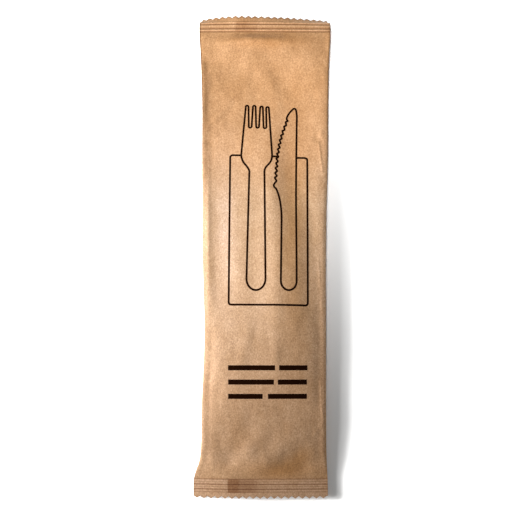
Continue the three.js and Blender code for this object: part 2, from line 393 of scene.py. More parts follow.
def swell(x, y, spot):
    across, down, half_length, half_width, turn, height = spot
    c, s = math.cos(math.radians(turn)), math.sin(math.radians(turn))
    u = (x - across) * c + (y - down) * s
    v = -(x - across) * s + (y - down) * c
    return height * np.exp(-(u / half_length) ** 2 - (v / half_width) ** 2)


def spots(x, y, places):
    """Strength of a few soft spots, from 0 to 1."""
    return np.clip(sum(swell(x, y, spot) for spot in places), 0, 1)


def crease(x, y, line):
    x0, y0, x1, y1, half_width, height = line
    length = math.hypot(x1 - x0, y1 - y0)
    c, s = (x1 - x0) / length, (y1 - y0) / length
    u = (x - x0) * c + (y - y0) * s
    v = -(x - x0) * s + (y - y0) * c
    ends = ease(u / (0.25 * length) + 0.5) * ease((length - u) / (0.25 * length) + 0.5)
    return height * ends * np.exp(-np.sqrt(v * v + 0.04) / half_width)


def crumple(x, y, seed, depth):
    """Soft random crumple with finer creases in it, the same each run."""
    def layer(across, down, kind):
        share, step_x, step_y, step_seed = kind
        return share, noise.noise(Vector((across * step_x, down * step_y, seed * step_seed)))

    out = np.empty(x.size)
    for i, (across, down) in enumerate(zip(x.ravel(), y.ravel())):
        waves, finer, crinkles = (layer(across, down, kind) for kind in (WAVES, FINER, CRINKLES))
        out[i] = (waves[0] * waves[1] + finer[0] * finer[1]
                  + crinkles[0] * (0.2 - abs(crinkles[1])))
    return depth * out.reshape(x.shape)


def low_share(k, width, offcut):
    """Place of a column along the low zigzag, from 0 to 1."""
    pitch = (width - offcut) / LOW_HALF_TEETH
    spare = offcut / (HALF_TEETH - LOW_HALF_TEETH)
    toothed, straight = np.minimum(k, LOW_HALF_TEETH), np.maximum(0, k - LOW_HALF_TEETH)
    return (toothed * pitch + straight * spare) / width


def curl(x, y, z, sheet_z):
    """Bends the top end down, more towards its corners, and lets its teeth lie flatter again."""
    left = x < CURL_APEX_X
    reach = np.where(left, CURL_APEX_X - TOP_LEFT_X, TOP_RIGHT_X - CURL_APEX_X)
    share = np.clip(np.abs(x - CURL_APEX_X) / reach, 0, 1)
    steepest = np.where(left, CURL_LEFT, CURL_RIGHT) * share ** 1.4
    run = np.maximum(y - CURL_START_Y, 0)
    new_y, new_z, angle = np.minimum(y, CURL_START_Y), sheet_z.copy(), 0.0
    for step in range(CURL_STEPS):
        at = CURL_START_Y + run * (step + 0.5) / CURL_STEPS
        angle = steepest * sum(part * ease((at - start) / span)
                               for part, start, span in CURL_PARTS)
        new_y = new_y + np.cos(angle) * run / CURL_STEPS
        new_z = new_z - np.sin(angle) * run / CURL_STEPS
    lift = z - sheet_z
    return new_y + lift * np.sin(angle), new_z + lift * np.cos(angle)


def row_places():
    """Rows along the pouch, close in the seals."""
    stops = (-END_Y, LOW_CRIMP_END_Y, LOW_SEAL_Y + 0.3, TOP_SEAL_Y - 1.0, TOP_CRIMP_END_Y, END_Y)
    counts = (FLAP_ROWS, CRIMP_ROWS, BODY_ROWS, CRIMP_ROWS, FLAP_ROWS)
    stretches = [np.linspace(*pair, n)[1:] for pair, n in zip(zip(stops, stops[1:]), counts)]
    return np.concatenate([[-END_Y], *stretches])


def pouch_plan(sizes):
    """Columns and rows of the pouch in plan, with the zigzag cuts and the rounded corners."""
    rows = row_places()
    k = np.arange(COLUMNS + 1) / COLUMNS_PER_HALF_TOOTH
    y_row = rows[:, None] * np.ones(COLUMNS + 1)
    left = along(rows, LEFT_FOLD)[:, None]
    right = along(rows, RIGHT_FOLD)[:, None]
    width = right - left
    low = low_share(k, LOW_RIGHT_X - LOW_LEFT_X, sizes.low_offcut / MM)[None, :]
    even = (k / HALF_TEETH)[None, :]
    share = blend(low, even, ease((y_row - LOW_SEAL_Y) / (TOP_SEAL_Y - LOW_SEAL_Y)))
    full = ease((y_row - LOW_SEAL_Y) / 14) * ease((TOP_SEAL_Y - y_row) / 14)
    crowded = share - CROWDING * np.sin(2 * math.pi * share) / (2 * math.pi)
    share = blend(share, crowded, full)
    x = left + width * share

    # zigzag: rows of the flaps gather towards the cut
    depth = sizes.tooth_depth / MM
    tooth_top = depth * np.abs(k % 2 - 1)
    tooth_low = np.where(k > LOW_HALF_TEETH, depth, tooth_top)
    low_flap = np.clip((LOW_CRIMP_END_Y - y_row) / (END_Y + LOW_CRIMP_END_Y), 0, 1)
    top_flap = np.clip((y_row - TOP_CRIMP_END_Y) / (END_Y - TOP_CRIMP_END_Y), 0, 1)
    y = y_row + low_flap * tooth_low - top_flap * tooth_top
    corner = sizes.corner / MM * top_flap ** 2
    at_left = np.clip(1 - k / 1.5, 0, None) ** 2
    at_right = np.clip(1 - (HALF_TEETH - k) / 1.5, 0, None) ** 2
    y = y - 0.45 * corner * (at_left + at_right)
    x = x + corner * (at_left - at_right)
    return rows, x, y, left, right, share, low_flap, top_flap


def pouch_heights(sizes):
    """Heights of the front and the back over the plan, with what the fin needs and a mask of
    painted shade on the cut teeth and the fold edges.
    """
    rows, x, y, left, right, share, low_flap, top_flap = pouch_plan(sizes)
    from_seal = y - LOW_SEAL_Y
    arch = LOW_ARCH * (1 - (2 * share ** ARCH_SKEW - 1) ** 2) * (1 - ease(from_seal / ARCH_RUN))
    droop = LOW_DROOP * (1 - ease((x - left) / DROOP_WIDTH)) * (1 - ease(from_seal / DROOP_RUN))
    fold = along(y, FOLD_HEIGHT) + arch - droop
    sheet = sizes.sheet / MM
    ribs = crimp(y, sizes)
    inward = np.minimum(x - left, right - x)
    t = 1 - np.clip(inward / (sizes.wall_width / MM), 0, 1)
    wall = (1 - t ** WALL_IN) ** (1 / WALL_UP)
    to_right = ease((x + 6) / 12)
    shoulder = blend(along(y, LEFT_SHOULDER), along(y, RIGHT_SHOULDER), to_right)
    front = shoulder * wall + over_contents(x, rows, left[:, 0], right[:, 0])
    inside = ease((y - LOW_SEAL_Y) / 6) * ease((TOP_SEAL_Y - y) / 2.6) * ease(inward / 2.5)
    relief = crumple(x, y, sizes.seed, sizes.crumple / MM)
    relief = relief * (1 + 0.6 * ease((y - 30) / 30))
    for spot in SWELLS:
        relief = relief + swell(x, y, spot)
    for line in CREASES:
        relief = relief + crease(x, y, line)
    front = fold + sheet + ribs + front + relief * inside

    # back: flat on the floor in the middle, rising to the fold at the sides and the ends
    settle = ease((y - LOW_SEAL_Y) / 16) * ease((TOP_SEAL_Y - y) / 22)
    t_back = 1 - np.clip(inward / BACK_ROUND, 0, 1)
    rise = 1 - np.sqrt(1 - t_back ** 2)
    back = blend(fold - sheet + ribs, (fold - sheet) * rise, settle)
    # painted shade: the cut teeth of both ends, and the fold edges of the upper part
    shade = np.maximum(ease((top_flap - 0.45) / 0.5), 0.3 * ease((low_flap - 0.45) / 0.5))
    fold_shade = ease((0.9 - inward) / 0.6) * ease((y - 25) / 25)
    return {"x": x, "y": y, "front": front, "back": back, "settle": settle,
            "shade": np.maximum(shade, fold_shade)}


def pouch_masks(x, y, shade):
    """Masks that the paper's colour reads, by name, at places before the top end is bent; several
    of them paint shade or highlight into it.
    """
    low, top = LOW_SEAL_Y - y, y - TOP_SEAL_Y
    flap = np.maximum(ease((low + 0.1) / 0.2), 0.25 * ease((top + 0.1) / 0.2))
    pressed = np.maximum(ease(low / 0.2) * ease((CRIMP_LENGTH - low) / 0.2),
                         ease(top / 0.2) * ease((TOP_CRIMP_LENGTH - top) / 0.2))
    fin_left = blend(FIN_EDGE_LOW, FIN_EDGE_TOP, (y + END_Y) / (2 * END_Y))
    patch = pressed * ease((x - fin_left) / 0.35) * ease((FIN_ROOT_X + 1.0 - x) / 4.0)
    patch = patch * (0.62 + 0.38 * ease((fin_left + FIN_STRONG - x) / 1.5))
    patch = patch * np.where(y > 0, 0.5, 1.0)
    return {"seal_flap": flap, "fin_patch": patch, "edge_shade": shade,
            "groove_and_shade": pressed_lines(y), "rib_highlight": painted_rib_highlights(y),
            "warm_shade": spots(x, y, WARM_SHADE_SPOTS), "painted_sheen": spots(x, y, SHEEN_SPOTS)}


def end_cap(root, free):
    """Faces that close an end of the pouch, as places in its row of the mesh. The printed face
    comes first in the row, column by column, and then the back, the fin and the panel."""
    def under(c):
        return 2 * COLUMNS + 1 - c

    def fin_top(c):
        return under(free) + 1 + c - free

    apex = fin_top(root)
    panel = [apex + root - c for c in range(root)] + [apex]
    faces = [(c, c + 1, panel[c + 1], panel[c]) for c in range(root)]
    faces += [(fin_top(c), fin_top(c + 1), under(c + 1), under(c)) for c in range(free, root)]
    faces += [(apex, root, root + 1), (apex, root + 1, under(root + 1)),
              (apex, under(root + 1), under(root))]
    faces += [(c, c + 1, under(c + 1), under(c)) for c in range(root + 1, COLUMNS)]
    return faces


def pouch_mesh(sizes):
    """One closed shell: printed face, back panel, and the folded fin under it."""
    a = pouch_heights(sizes)
    x, y, front, back, settle = a["x"], a["y"], a["front"], a["back"], a["settle"]
    count_rows = x.shape[0]
    middle = count_rows // 2
    root = int(np.argmin(np.abs(x[middle] - FIN_ROOT_X)))
    free = int(np.argmin(np.abs(x[middle] - (FIN_ROOT_X - sizes.fin_width / MM))))
    fin_thick = 2 * sizes.sheet / MM
    gap = blend(0.02, sizes.fin_gap / MM, settle)

    # the panel lifts over the fin and comes down again beyond its free edge
    beyond = np.clip((x[:, free:free + 1] - x) / FIN_RAMP, 0, 1)
    under = np.where(np.arange(COLUMNS + 1) < root, 1.0, 0.0) * (1 - ease(beyond))
    panel = back + settle * (fin_thick + gap) * under
    fin_top = back + settle * fin_thick - (1 - settle) * gap
    fin_low = back - (1 - settle) * (gap + fin_thick)

    loops = [(x, y, height, a["shade"], columns) for height, columns in (
        (front, slice(None)), (back, slice(COLUMNS, root, -1)),
        (fin_low, slice(root, free - 1, -1)), (fin_top, slice(free, root + 1)),
        (panel, slice(root - 1, None, -1)))]
    xs, ys, zs, shade = (np.concatenate([loop[i][:, loop[-1]] for loop in loops], axis=1)
                         for i in range(4))
    sheet_z = along(ys, FOLD_HEIGHT)
    rest_ys = ys
    ys, zs = curl(xs, ys, zs, sheet_z)
    zs = np.maximum(zs, 0.0)
    size = xs.shape[1]
    verts = np.stack([xs, ys, zs], axis=-1).reshape(-1, 3) * MM

    j = np.arange(count_rows - 1)[:, None] * size
    i = np.arange(size)[None, :]
    n = (i + 1) % size
    quads = np.stack([j + i, j + n, j + size + n, j + size + i], axis=-1).reshape(-1, 4)
    faces = [tuple(q) for q in quads.tolist()]

    last = (count_rows - 1) * size
    rings = end_cap(root, free)
    faces += [tuple(reversed(ring)) for ring in rings]
    faces += [tuple(last + place for place in ring) for ring in rings]

    mesh = bpy.data.meshes.new("kraft_pouch")
    mesh.from_pydata(verts.tolist(), [], faces)
    mesh.update()

    for name, values in pouch_masks(xs, rest_ys, shade).items():
        layer = mesh.attributes.new(name, "FLOAT", "POINT")
        layer.data.foreach_set("value", values.reshape(-1).astype(np.float32))
    return mesh


# ----------------------------------------------------------------------
# Finishes
# ----------------------------------------------------------------------

def add_node(tree, kind, inputs=None, **settings):
    """A node with its settings made and its inputs, by name or place, linked or set."""
    node = tree.nodes.new(kind)
    for name, value in settings.items():
        setattr(node, name, value)
    for key, value in (inputs or {}).items():
        if isinstance(value, bpy.types.NodeSocket):
            tree.links.new(value, node.inputs[key])
        else:
            node.inputs[key].default_value = value
    return node


def maths(tree, operation, *values):
    """Result of a calculation on sockets or numbers."""
    inputs = dict(enumerate(values))
    return add_node(tree, "ShaderNodeMath", inputs, operation=operation).outputs[0]


def add_sockets(tree, direction, sockets):
    """Sockets of a node group, given as (label, kind, default or None)."""
    for label, kind, default in sockets:
        socket = tree.interface.new_socket(name=label, in_out=direction,
                                           socket_type="NodeSocket" + kind)
        if default is not None:
            socket.default_value = default


def fibre_group():
    """Kraft fibres: a fleck mask, a cloud mask and a fine height, from Object coordinates."""
    name = "Kraft Fibres"
    if name in bpy.data.node_groups:
        return bpy.data.node_groups[name]
    tree = bpy.data.node_groups.new(name, "ShaderNodeTree")
    add_sockets(tree, "INPUT", (("Vector", "Vector", None), ("Fibre Scale", "Float", 1.0)))
    add_sockets(tree, "OUTPUT", [(label, "Float", None) for label in ("Flecks", "Cloud", "Height")])
    given = tree.nodes.new("NodeGroupInput").outputs

    def pattern(turn, stretch, scale, detail):
        turned = add_node(tree, "ShaderNodeMapping", {
            "Vector": given["Vector"], "Rotation": (0, 0, turn), "Scale": (1.0, stretch, 1.0)})
        grown = add_node(tree, "ShaderNodeVectorMath", {
            0: turned.outputs["Vector"], "Scale": given["Fibre Scale"]}, operation="SCALE")
        return add_node(tree, "ShaderNodeTexNoise", {
            "Vector": grown.outputs["Vector"], "Scale": scale, "Detail": detail,
            "Roughness": 0.6}).outputs["Fac"]

    fibres = maths(tree, "MAXIMUM", pattern(0.5, 0.45, 2300, 2), pattern(-0.9, 0.40, 2000, 2))
    grain = pattern(0.0, 1.0, 1500, 5)
    add_node(tree, "NodeGroupOutput", {
        "Flecks": maths(tree, "MULTIPLY_ADD", fibres, 0.45, maths(tree, "MULTIPLY", grain, 0.6)),
        "Cloud": pattern(0.3, 0.8, 130, 5),
        "Height": maths(tree, "MULTIPLY_ADD", fibres, 0.6, maths(tree, "MULTIPLY", grain, 0.4))})
    return tree


def ramp(tree, factor, stops):
    """Colour along a factor, from (place, colour) stops."""
    node = add_node(tree, "ShaderNodeValToRGB", {"Fac": factor})
    elements = node.color_ramp.elements
    while len(elements) < len(stops):
        elements.new(0.5)
    for element, (place, colour) in zip(elements, stops):
        element.position = place
        element.color = (*colour, 1.0)
    return node.outputs["Color"]


def mixed(tree, factor, a, b, blend_type="MIX"):
    """Colour b, a socket or an RGB tuple, mixed into the socket a."""
    b = (*b, 1.0) if isinstance(b, tuple) else b
    return add_node(tree, "ShaderNodeMix", {0: factor, 6: a, 7: b}, data_type="RGBA",
                    blend_type=blend_type).outputs[2]


# Tone of the paper from the low end, 0, to the top end, 1: paler and cooler over the middle as a
# painted highlight on the lit crest, and warmer towards the top end
TONE_AND_SHEEN_ALONG = ((0.03, (0.98, 0.98, 0.95)), (0.09, (0.97, 1.0, 1.04)), (0.20, (0.98, 1.0, 1.03)),
              (0.37, (0.96, 1.03, 1.12)), (0.59, (0.95, 1.05, 1.16)), (0.70, (1.0, 0.985, 0.95)),
              (0.84, (1.0, 0.93, 0.79)))

# What each mask of the pouch multiplies the paper's colour by; the pressed lines are partly own
# tone and partly painted shade, the edges and warm spots painted shade, the ribs and pale spots
# painted highlight
MASK_TONES = (("seal_flap", (1.10, 1.16, 1.34)), ("fin_patch", (0.60, 0.47, 0.35)),
              ("groove_and_shade", (0.46, 0.36, 0.27)), ("edge_shade", (0.55, 0.53, 0.50)),
              ("rib_highlight", (1.34, 1.44, 1.60)), ("warm_shade", (0.97, 0.83, 0.60)),
              ("painted_sheen", (0.97, 1.03, 1.20)))


def fibrous_material(name, roughness, specular, bump_strength, bump_height):
    """Material with the fibres in its bump, with the nodes that its colour is made from."""
    material = bpy.data.materials.new(name)
    material.use_nodes = True
    tree = material.node_tree
    shader = tree.nodes["Principled BSDF"]
    shader.inputs["Roughness"].default_value = roughness
    shader.inputs["Specular IOR Level"].default_value = specular
    place = tree.nodes.new("ShaderNodeTexCoord").outputs["Object"]
    fibres = add_node(tree, "ShaderNodeGroup", node_tree=fibre_group())
    tree.links.new(place, fibres.inputs["Vector"])
    bump = add_node(tree, "ShaderNodeBump", {"Strength": bump_strength, "Distance": bump_height,
                                             "Height": fibres.outputs["Height"]})
    tree.links.new(bump.outputs["Normal"], shader.inputs["Normal"])
    return material, tree, shader, place, fibres


def kraft_material(colours):
    material, tree, shader, place, fibres = fibrous_material("unbleached_kraft", 0.62, 0.35,
                                                             0.35, 0.12 * MM)
    shader.inputs["Sheen Weight"].default_value = 0.08
    flecked = ramp(tree, fibres.outputs["Flecks"], (
        (0.40, colours.kraft_dark), (0.57, colours.kraft), (0.72, colours.kraft_light)))
    cloudy = ramp(tree, fibres.outputs["Cloud"], (
        (0.3, (0.87, 0.83, 0.77)), (0.7, (1.02, 1.03, 1.07))))
    base = mixed(tree, 1.0, flecked, cloudy, "MULTIPLY")
    # tone along the pack, with a painted highlight over its middle
    parts = add_node(tree, "ShaderNodeSeparateXYZ", {"Vector": place})
    up = add_node(tree, "ShaderNodeMapRange", {
        "Value": parts.outputs["Y"], "From Min": -END_Y * MM, "From Max": END_Y * MM})
    base = mixed(tree, 1.0, base, ramp(tree, up.outputs["Result"], TONE_AND_SHEEN_ALONG), "MULTIPLY")
    # masks that tint the paper, several of them painted shade or highlight
    for mask, colour in MASK_TONES:
        part = add_node(tree, "ShaderNodeAttribute", attribute_name=mask)
        toned = mixed(tree, 1.0, base, colour, "MULTIPLY")
        base = mixed(tree, part.outputs["Fac"], base, toned)
    tree.links.new(base, shader.inputs["Base Color"])
    return material


def ink_material(colours):
    material, tree, shader, _, fibres = fibrous_material("ink_on_kraft", 0.7, 0.0, 0.3, 0.1 * MM)
    thin = [2.0 * c for c in colours.ink]
    base = ramp(tree, fibres.outputs["Flecks"], ((0.45, colours.ink), (0.8, thin)))
    tree.links.new(base, shader.inputs["Base Color"])
    return material


def floor_material(look):
    material = bpy.data.materials.new("pale_floor")
    material.use_nodes = True
    shader = material.node_tree.nodes["Principled BSDF"]
    shader.inputs["Base Color"].default_value = (*look.floor, 1.0)
    shader.inputs["Roughness"].default_value = 0.9
    shader.inputs["Specular IOR Level"].default_value = 0.1
    return material


# ----------------------------------------------------------------------
# Printed drawing, in millimetres
# ----------------------------------------------------------------------

# napkin: its corners, from the top left one, clockwise
NAPKIN_CORNERS = ((-16.15, 45.45), (20.7, 43.9), (20.3, -26.8), (-16.55, -26.35))
NAPKIN_ROUND = 1.3

# how far across its top edge meets the knife's saw edge and the knife's spine
NAPKIN_AT_EDGE, NAPKIN_AT_SPINE = 6.3, 15.45

# fork: (across, along) of the tips and of the bottoms of the slots, the curves of both
# shoulders from the tines down to the handle, and the handle's low end
FORK_TIPS = ((-8.1, 70.3), (-4.65, 70.3), (-1.15, 69.9), (1.75, 69.6))
TINE_ROUND = 0.66
FORK_SLOTS = ((-6.6, 59.0), (-3.05, 58.9), (0.5, 58.6))
SLOT_ROUND = 0.70
FORK_LEFT = ((-10.8, 46.4), (-10.8, 44.5), (-9.85, 41.9), (-7.9, 39.35), (-7.0, 37.4),
             (-7.0, 36.4))
FORK_RIGHT = ((3.8, 46.4), (3.8, 44.0), (2.95, 41.6), (0.85, 39.1), (0.2, 37.3), (0.2, 36.4))
FORK_HANDLE_LOW = ((-8.25, -14.4), (0.6, -14.4))
FORK_END = -19.7

# knife: its saw edge runs down from the tip to the heel along a smooth line of notches; the
# points stand out from it, each a little below its notch, by more towards the heel
KNIFE_TEETH = 14
KNIFE_NOTCHES = ((11.6, 62.3), (8.7, 53.7), (7.0, 44.6), (5.95, 32.4))
POINT_OUT = 1.06
POINT_BELOW = (0.4, 1.0)
KNIFE_TIP = ((10.95, 63.2), (11.2, 64.5), (12.5, 66.6), (14.05, 68.3), (14.8, 68.6), (15.5, 67.8),
             (15.9, 65.0))
KNIFE_NECK = ((4.55, 30.4), (4.8, 29.3), (5.95, 27.9), (7.4, 23.1), (8.15, 16.6), (8.15, 11.2))
KNIFE_GRIP_LOW = ((7.7, -15.5), (15.1, -15.5))
KNIFE_END = -19.8
KNIFE_SPINE = ((15.15, 26.0), (15.65, 54.0))


def arc(cx, cy, radius, start, stop, steps=8):
    """Points round a centre, from one angle to another in degrees."""
    angles = np.linspace(math.radians(start), math.radians(stop), steps + 1)
    return [(cx + radius * math.cos(a), cy + radius * math.sin(a)) for a in angles]


def spline(points, steps=6):
    """Catmull-Rom curve through the points."""
    pts = [points[0], *points, points[-1]]
    out = []
    for i in range(1, len(pts) - 2):
        p0, p1, p2, p3 = (np.array(p, float) for p in pts[i - 1:i + 3])
        for s in range(steps):
            t = s / steps
            q = 0.5 * (2 * p1 + (p2 - p0) * t + (2 * p0 - 5 * p1 + 4 * p2 - p3) * t * t
                       + (3 * p1 - p0 - 3 * p2 + p3) * t ** 3)
            out.append((float(q[0]), float(q[1])))
    out.append(tuple(points[-1]))
    return out


def round_end(left_point, right_point, end):
    """Round end of a handle, from its right side to its left side."""
    (lx, ly), rx = left_point, right_point[0]
    cx, half, depth = (lx + rx) / 2, (rx - lx) / 2, ly - end
    return [(cx + half * math.cos(a), ly - depth * math.sin(a))
            for a in np.linspace(0.0, math.pi, 17)]


def fork_outline():
    """Closed outline of a four-tined fork, from the top of its handle round to the right."""
    points = list(reversed(spline(FORK_LEFT)))
    for i, (cx, tip) in enumerate(FORK_TIPS):
        points += arc(cx, tip - TINE_ROUND, TINE_ROUND, 185, -5)
        if i < len(FORK_SLOTS):
            sx, bottom = FORK_SLOTS[i]
            points += arc(sx, bottom + SLOT_ROUND, SLOT_ROUND, 185, 355)
    points += spline(FORK_RIGHT)
    points += round_end(*FORK_HANDLE_LOW, FORK_END)
    return points


def knife_outline():
    """Closed outline of a knife, from its tip along the saw edge to its handle."""
    edge_x, edge_y = zip(*reversed(spline(KNIFE_NOTCHES)))
    first, last = edge_y[-1], edge_y[0]
    points = list(reversed(spline(KNIFE_TIP)))
    for share in np.linspace(0.0, 1.0, KNIFE_TEETH):
        notch = float(blend(first, last, 0.94 * share + 0.06 * share ** 2))
        points.append((float(np.interp(notch, edge_y, edge_x)), notch))
        point = float(notch - blend(*POINT_BELOW, share))
        if share < 1.0:
            points.append((float(np.interp(point, edge_y, edge_x)) - POINT_OUT, point))
    points += spline(KNIFE_NECK)
    points += list(reversed(round_end(*KNIFE_GRIP_LOW, KNIFE_END)))
    points += list(KNIFE_SPINE)
    return points


def crossing(start, stop, across):
    """Place on the line from start to stop that lies this far across."""
    share = (across - start[0]) / (stop[0] - start[0])
    return (across, start[1] + (stop[1] - start[1]) * share)


def napkin_lines():
    """The napkin's outline, broken where the fork and the knife lie over it."""
    top_left, top_right = NAPKIN_CORNERS[:2]

    def rounded(before, corner, after, steps=5):
        ends = []
        for other in (before, after):
            reach = NAPKIN_ROUND / math.dist(corner, other)
            ends.append(tuple(c + (o - c) * reach for c, o in zip(corner, other)))
        out = []
        for t in np.linspace(0, 1, steps + 1):
            out.append(tuple(float((1 - t) ** 2 * p + 2 * t * (1 - t) * c + t * t * q)
                             for p, c, q in zip(ends[0], corner, ends[1])))
        return out

    border = [crossing(top_left, top_right, FORK_LEFT[1][0])]
    for i in (0, 3, 2, 1):
        border += rounded(NAPKIN_CORNERS[i - 3], NAPKIN_CORNERS[i], NAPKIN_CORNERS[i - 1])
    border.append(crossing(top_left, top_right, NAPKIN_AT_SPINE))
    bridge = [crossing(top_left, top_right, across)
              for across in (FORK_RIGHT[1][0], NAPKIN_AT_EDGE)]
    return [border, bridge]


# Bars: middle of each row along the pack, then the start and the stop of each bar across it
BAR_ROWS = (
    (-55.5, ((-16.7, 4.9), (6.8, 19.9))),
    (-62.0, ((-16.6, 4.4), (6.2, 19.6))),
    (-68.5, ((-16.6, -0.8), (1.7, 19.6))),
)


def lines_mesh(name, closed, opened):
    """Edges of the drawing, flat, before they are laid on the paper."""
    verts, edges = [], []
    for points, is_closed in [(p, True) for p in closed] + [(p, False) for p in opened]:
        first = len(verts)
        verts += [(x * MM, y * MM, 0.0) for x, y in points]
        last = len(verts) - 1
        edges += [(i, i + 1) for i in range(first, last)]
        if is_closed:
            edges.append((last, first))
    mesh = bpy.data.meshes.new(name)
    mesh.from_pydata(verts, edges, [])
    return mesh


def ribbon_tree():
    """Geometry nodes: turns flat lines into an ink film that lies on the paper."""
    tree = bpy.data.node_groups.new("Ink Ribbon", "GeometryNodeTree")
    add_sockets(tree, "INPUT", (
        ("Geometry", "Geometry", None), ("Width", "Float", 0.8 * MM), ("Film", "Float", 0.04 * MM),
        ("Step", "Float", 0.4 * MM), ("Strips", "Int", 1), ("Paper", "Object", None),
        ("Ink", "Material", None)))
    add_sockets(tree, "OUTPUT", (("Geometry", "Geometry", None),))
    given = tree.nodes.new("NodeGroupInput").outputs

    # a flat bar, in strips side by side, swept level along the lines
    lines = add_node(tree, "GeometryNodeMeshToCurve", {"Mesh": given["Geometry"]})
    stepped = add_node(tree, "GeometryNodeResampleCurve", {
        "Curve": lines.outputs["Curve"], "Length": given["Step"]}, mode="LENGTH")
    level = add_node(tree, "GeometryNodeSetCurveNormal", {"Curve": stepped.outputs["Curve"]},
                     mode="Z_UP")
    section = add_node(tree, "GeometryNodeCurvePrimitiveQuadrilateral", {
        "Width": given["Width"], "Height": given["Film"]}, mode="RECTANGLE")
    strips = add_node(tree, "GeometryNodeSubdivideCurve", {
        "Curve": section.outputs["Curve"], "Cuts": given["Strips"]})
    film = add_node(tree, "GeometryNodeCurveToMesh", {
        "Curve": level.outputs["Curve"], "Profile Curve": strips.outputs["Curve"],
        "Fill Caps": True})

    # every point goes straight down to the paper, and keeps its height within the film
    paper = add_node(tree, "GeometryNodeObjectInfo", {"Object": given["Paper"]},
                     transform_space="RELATIVE")
    position = add_node(tree, "GeometryNodeInputPosition").outputs["Position"]
    place = add_node(tree, "ShaderNodeSeparateXYZ", {"Vector": position}).outputs
    above = add_node(tree, "ShaderNodeCombineXYZ", {"X": place["X"], "Y": place["Y"], "Z": 0.05})
    cast = add_node(tree, "GeometryNodeRaycast", {
        "Target Geometry": paper.outputs["Geometry"], "Source Position": above.outputs["Vector"],
        "Ray Direction": (0, 0, -1), "Ray Length": 0.1})
    hit = add_node(tree, "ShaderNodeSeparateXYZ", {"Vector": cast.outputs["Hit Position"]})
    height = maths(tree, "MULTIPLY_ADD", given["Film"], 0.5,
                   maths(tree, "ADD", hit.outputs["Z"], place["Z"]))
    landed = add_node(tree, "ShaderNodeCombineXYZ", {"X": place["X"], "Y": place["Y"], "Z": height})
    laid = add_node(tree, "GeometryNodeSetPosition", {
        "Geometry": film.outputs["Mesh"], "Position": landed.outputs["Vector"],
        "Selection": cast.outputs["Is Hit"]})

    made = add_node(tree, "GeometryNodeRealizeInstances", {"Geometry": laid.outputs["Geometry"]})
    inked = add_node(tree, "GeometryNodeSetMaterial", {
        "Geometry": made.outputs["Geometry"], "Material": given["Ink"]})
    add_node(tree, "NodeGroupOutput", {"Geometry": inked.outputs["Geometry"]})
    return tree


def ribbon_piece(name, mesh, values):
    """Runs the ribbon tree on flat lines and keeps the result as a plain mesh."""
    tree = bpy.data.node_groups.get("Ink Ribbon") or ribbon_tree()
    source = linked(name + "_lines", mesh)
    modifier = source.modifiers.new("ribbon", "NODES")
    modifier.node_group = tree
    sockets = {s.name: s.identifier for s in tree.interface.items_tree
               if s.item_type == "SOCKET" and s.in_out == "INPUT"}
    for label, value in values.items():
        modifier[sockets[label]] = value
    graph = bpy.context.evaluated_depsgraph_get()
    made = bpy.data.meshes.new_from_object(source.evaluated_get(graph))
    source.modifiers.remove(modifier)
    bpy.data.objects.remove(source)
    made.name = name
    return linked(name, made)


# ----------------------------------------------------------------------
# Stage, in metres
# ----------------------------------------------------------------------

FLOOR_REACH = 3.0
CAMERA_AIM = (-3.8 * MM, -3.3 * MM, 4.0 * MM)

# The key light's direction in plan, away from the pack, and its distance
KEY_SIDE = (-1.0, -0.28)
KEY_DISTANCE = 0.42


def linked(name, data):
    """An object in the scene's collection."""
    made = bpy.data.objects.new(name, data)
    bpy.context.collection.objects.link(made)
    return made


def facing(direction):
    return direction.to_track_quat("-Z", "Y").to_euler()


def lamp(name, kind, power, place, aim, **settings):
    """A light at a place, turned towards what it is aimed at."""
    data = bpy.data.lights.new(name, kind)
    data.energy = power
    for key, value in settings.items():
        setattr(data, key, value)
    light = linked(name, data)
    light.location = place
    light.rotation_euler = facing(Vector(aim) - Vector(place))
    return light


def softbox(name, power, place, aim, size):
    return lamp(name, "AREA", power, place, aim, shape="DISK", size=size)


def spotlight(name, power, place, aim, cone, softness):
    return lamp(name, "SPOT", power, place, aim, spot_size=math.radians(cone), spot_blend=1.0,
                shadow_soft_size=softness)


def stage_floor(look):
    far = FLOOR_REACH
    mesh = bpy.data.meshes.new("floor")
    mesh.from_pydata([(-far, -far, 0), (far, -far, 0), (far, far, 0), (-far, far, 0)],
                     [], [(0, 1, 2, 3)])
    mesh.materials.append(floor_material(look))
    floor = linked("floor", mesh)
    return floor


def stage_lights(look, floor):
    """A low softbox from the left, a spot that falls off towards the low end, and the floor's
    own lights, one low on the left and two overhead that thin the pack's shadow at its ends."""
    low = look.key_height
    key = Vector((*(side * math.cos(low) for side in KEY_SIDE), math.sin(low))) * KEY_DISTANCE
    softbox("key", look.key_power, key, (0.0, 0.0, 0.0), 0.145)
    spot = spotlight("spot", look.spot_power, (-0.29, -0.046, 0.51), (0.0, 0.054, 0.0), 27.5, 0.06)
    floor_lights = (
        softbox("wash", look.wash_power, (-0.6, 0.0, 0.15), (0.1, 0.0, 0.0), 0.16),
        spotlight("over", look.over_power, (-0.07, 0.13, 0.6), (0.065, 0.1, 0.0), 28, 0.08),
        spotlight("lift", look.lift_power, (0.1, -0.13, 0.6), (0.055, -0.115, 0.0), 20, 0.08))

    # the floor stays white on its own lights, and the spot leaves it out
    only_floor = bpy.data.collections.new("floor_only")
    only_floor.objects.link(floor)
    for light in floor_lights:
        light.light_linking.receiver_collection = only_floor
    not_floor = bpy.data.collections.new("all_but_floor")
    not_floor.objects.link(floor)
    not_floor.collection_objects[0].light_linking.link_state = "EXCLUDE"
    spot.light_linking.receiver_collection = not_floor


def stage_sky(look):
    world = bpy.data.worlds.new("studio")
    world.use_nodes = True
    sky = world.node_tree.nodes["Background"]
    sky.inputs["Color"].default_value = (1.0, 0.98, 0.96, 1.0)
    sky.inputs["Strength"].default_value = look.fill_strength
    bpy.context.scene.world = world
    bpy.context.scene.view_settings.view_transform = "Standard"
    bpy.context.scene.view_settings.look = "None"


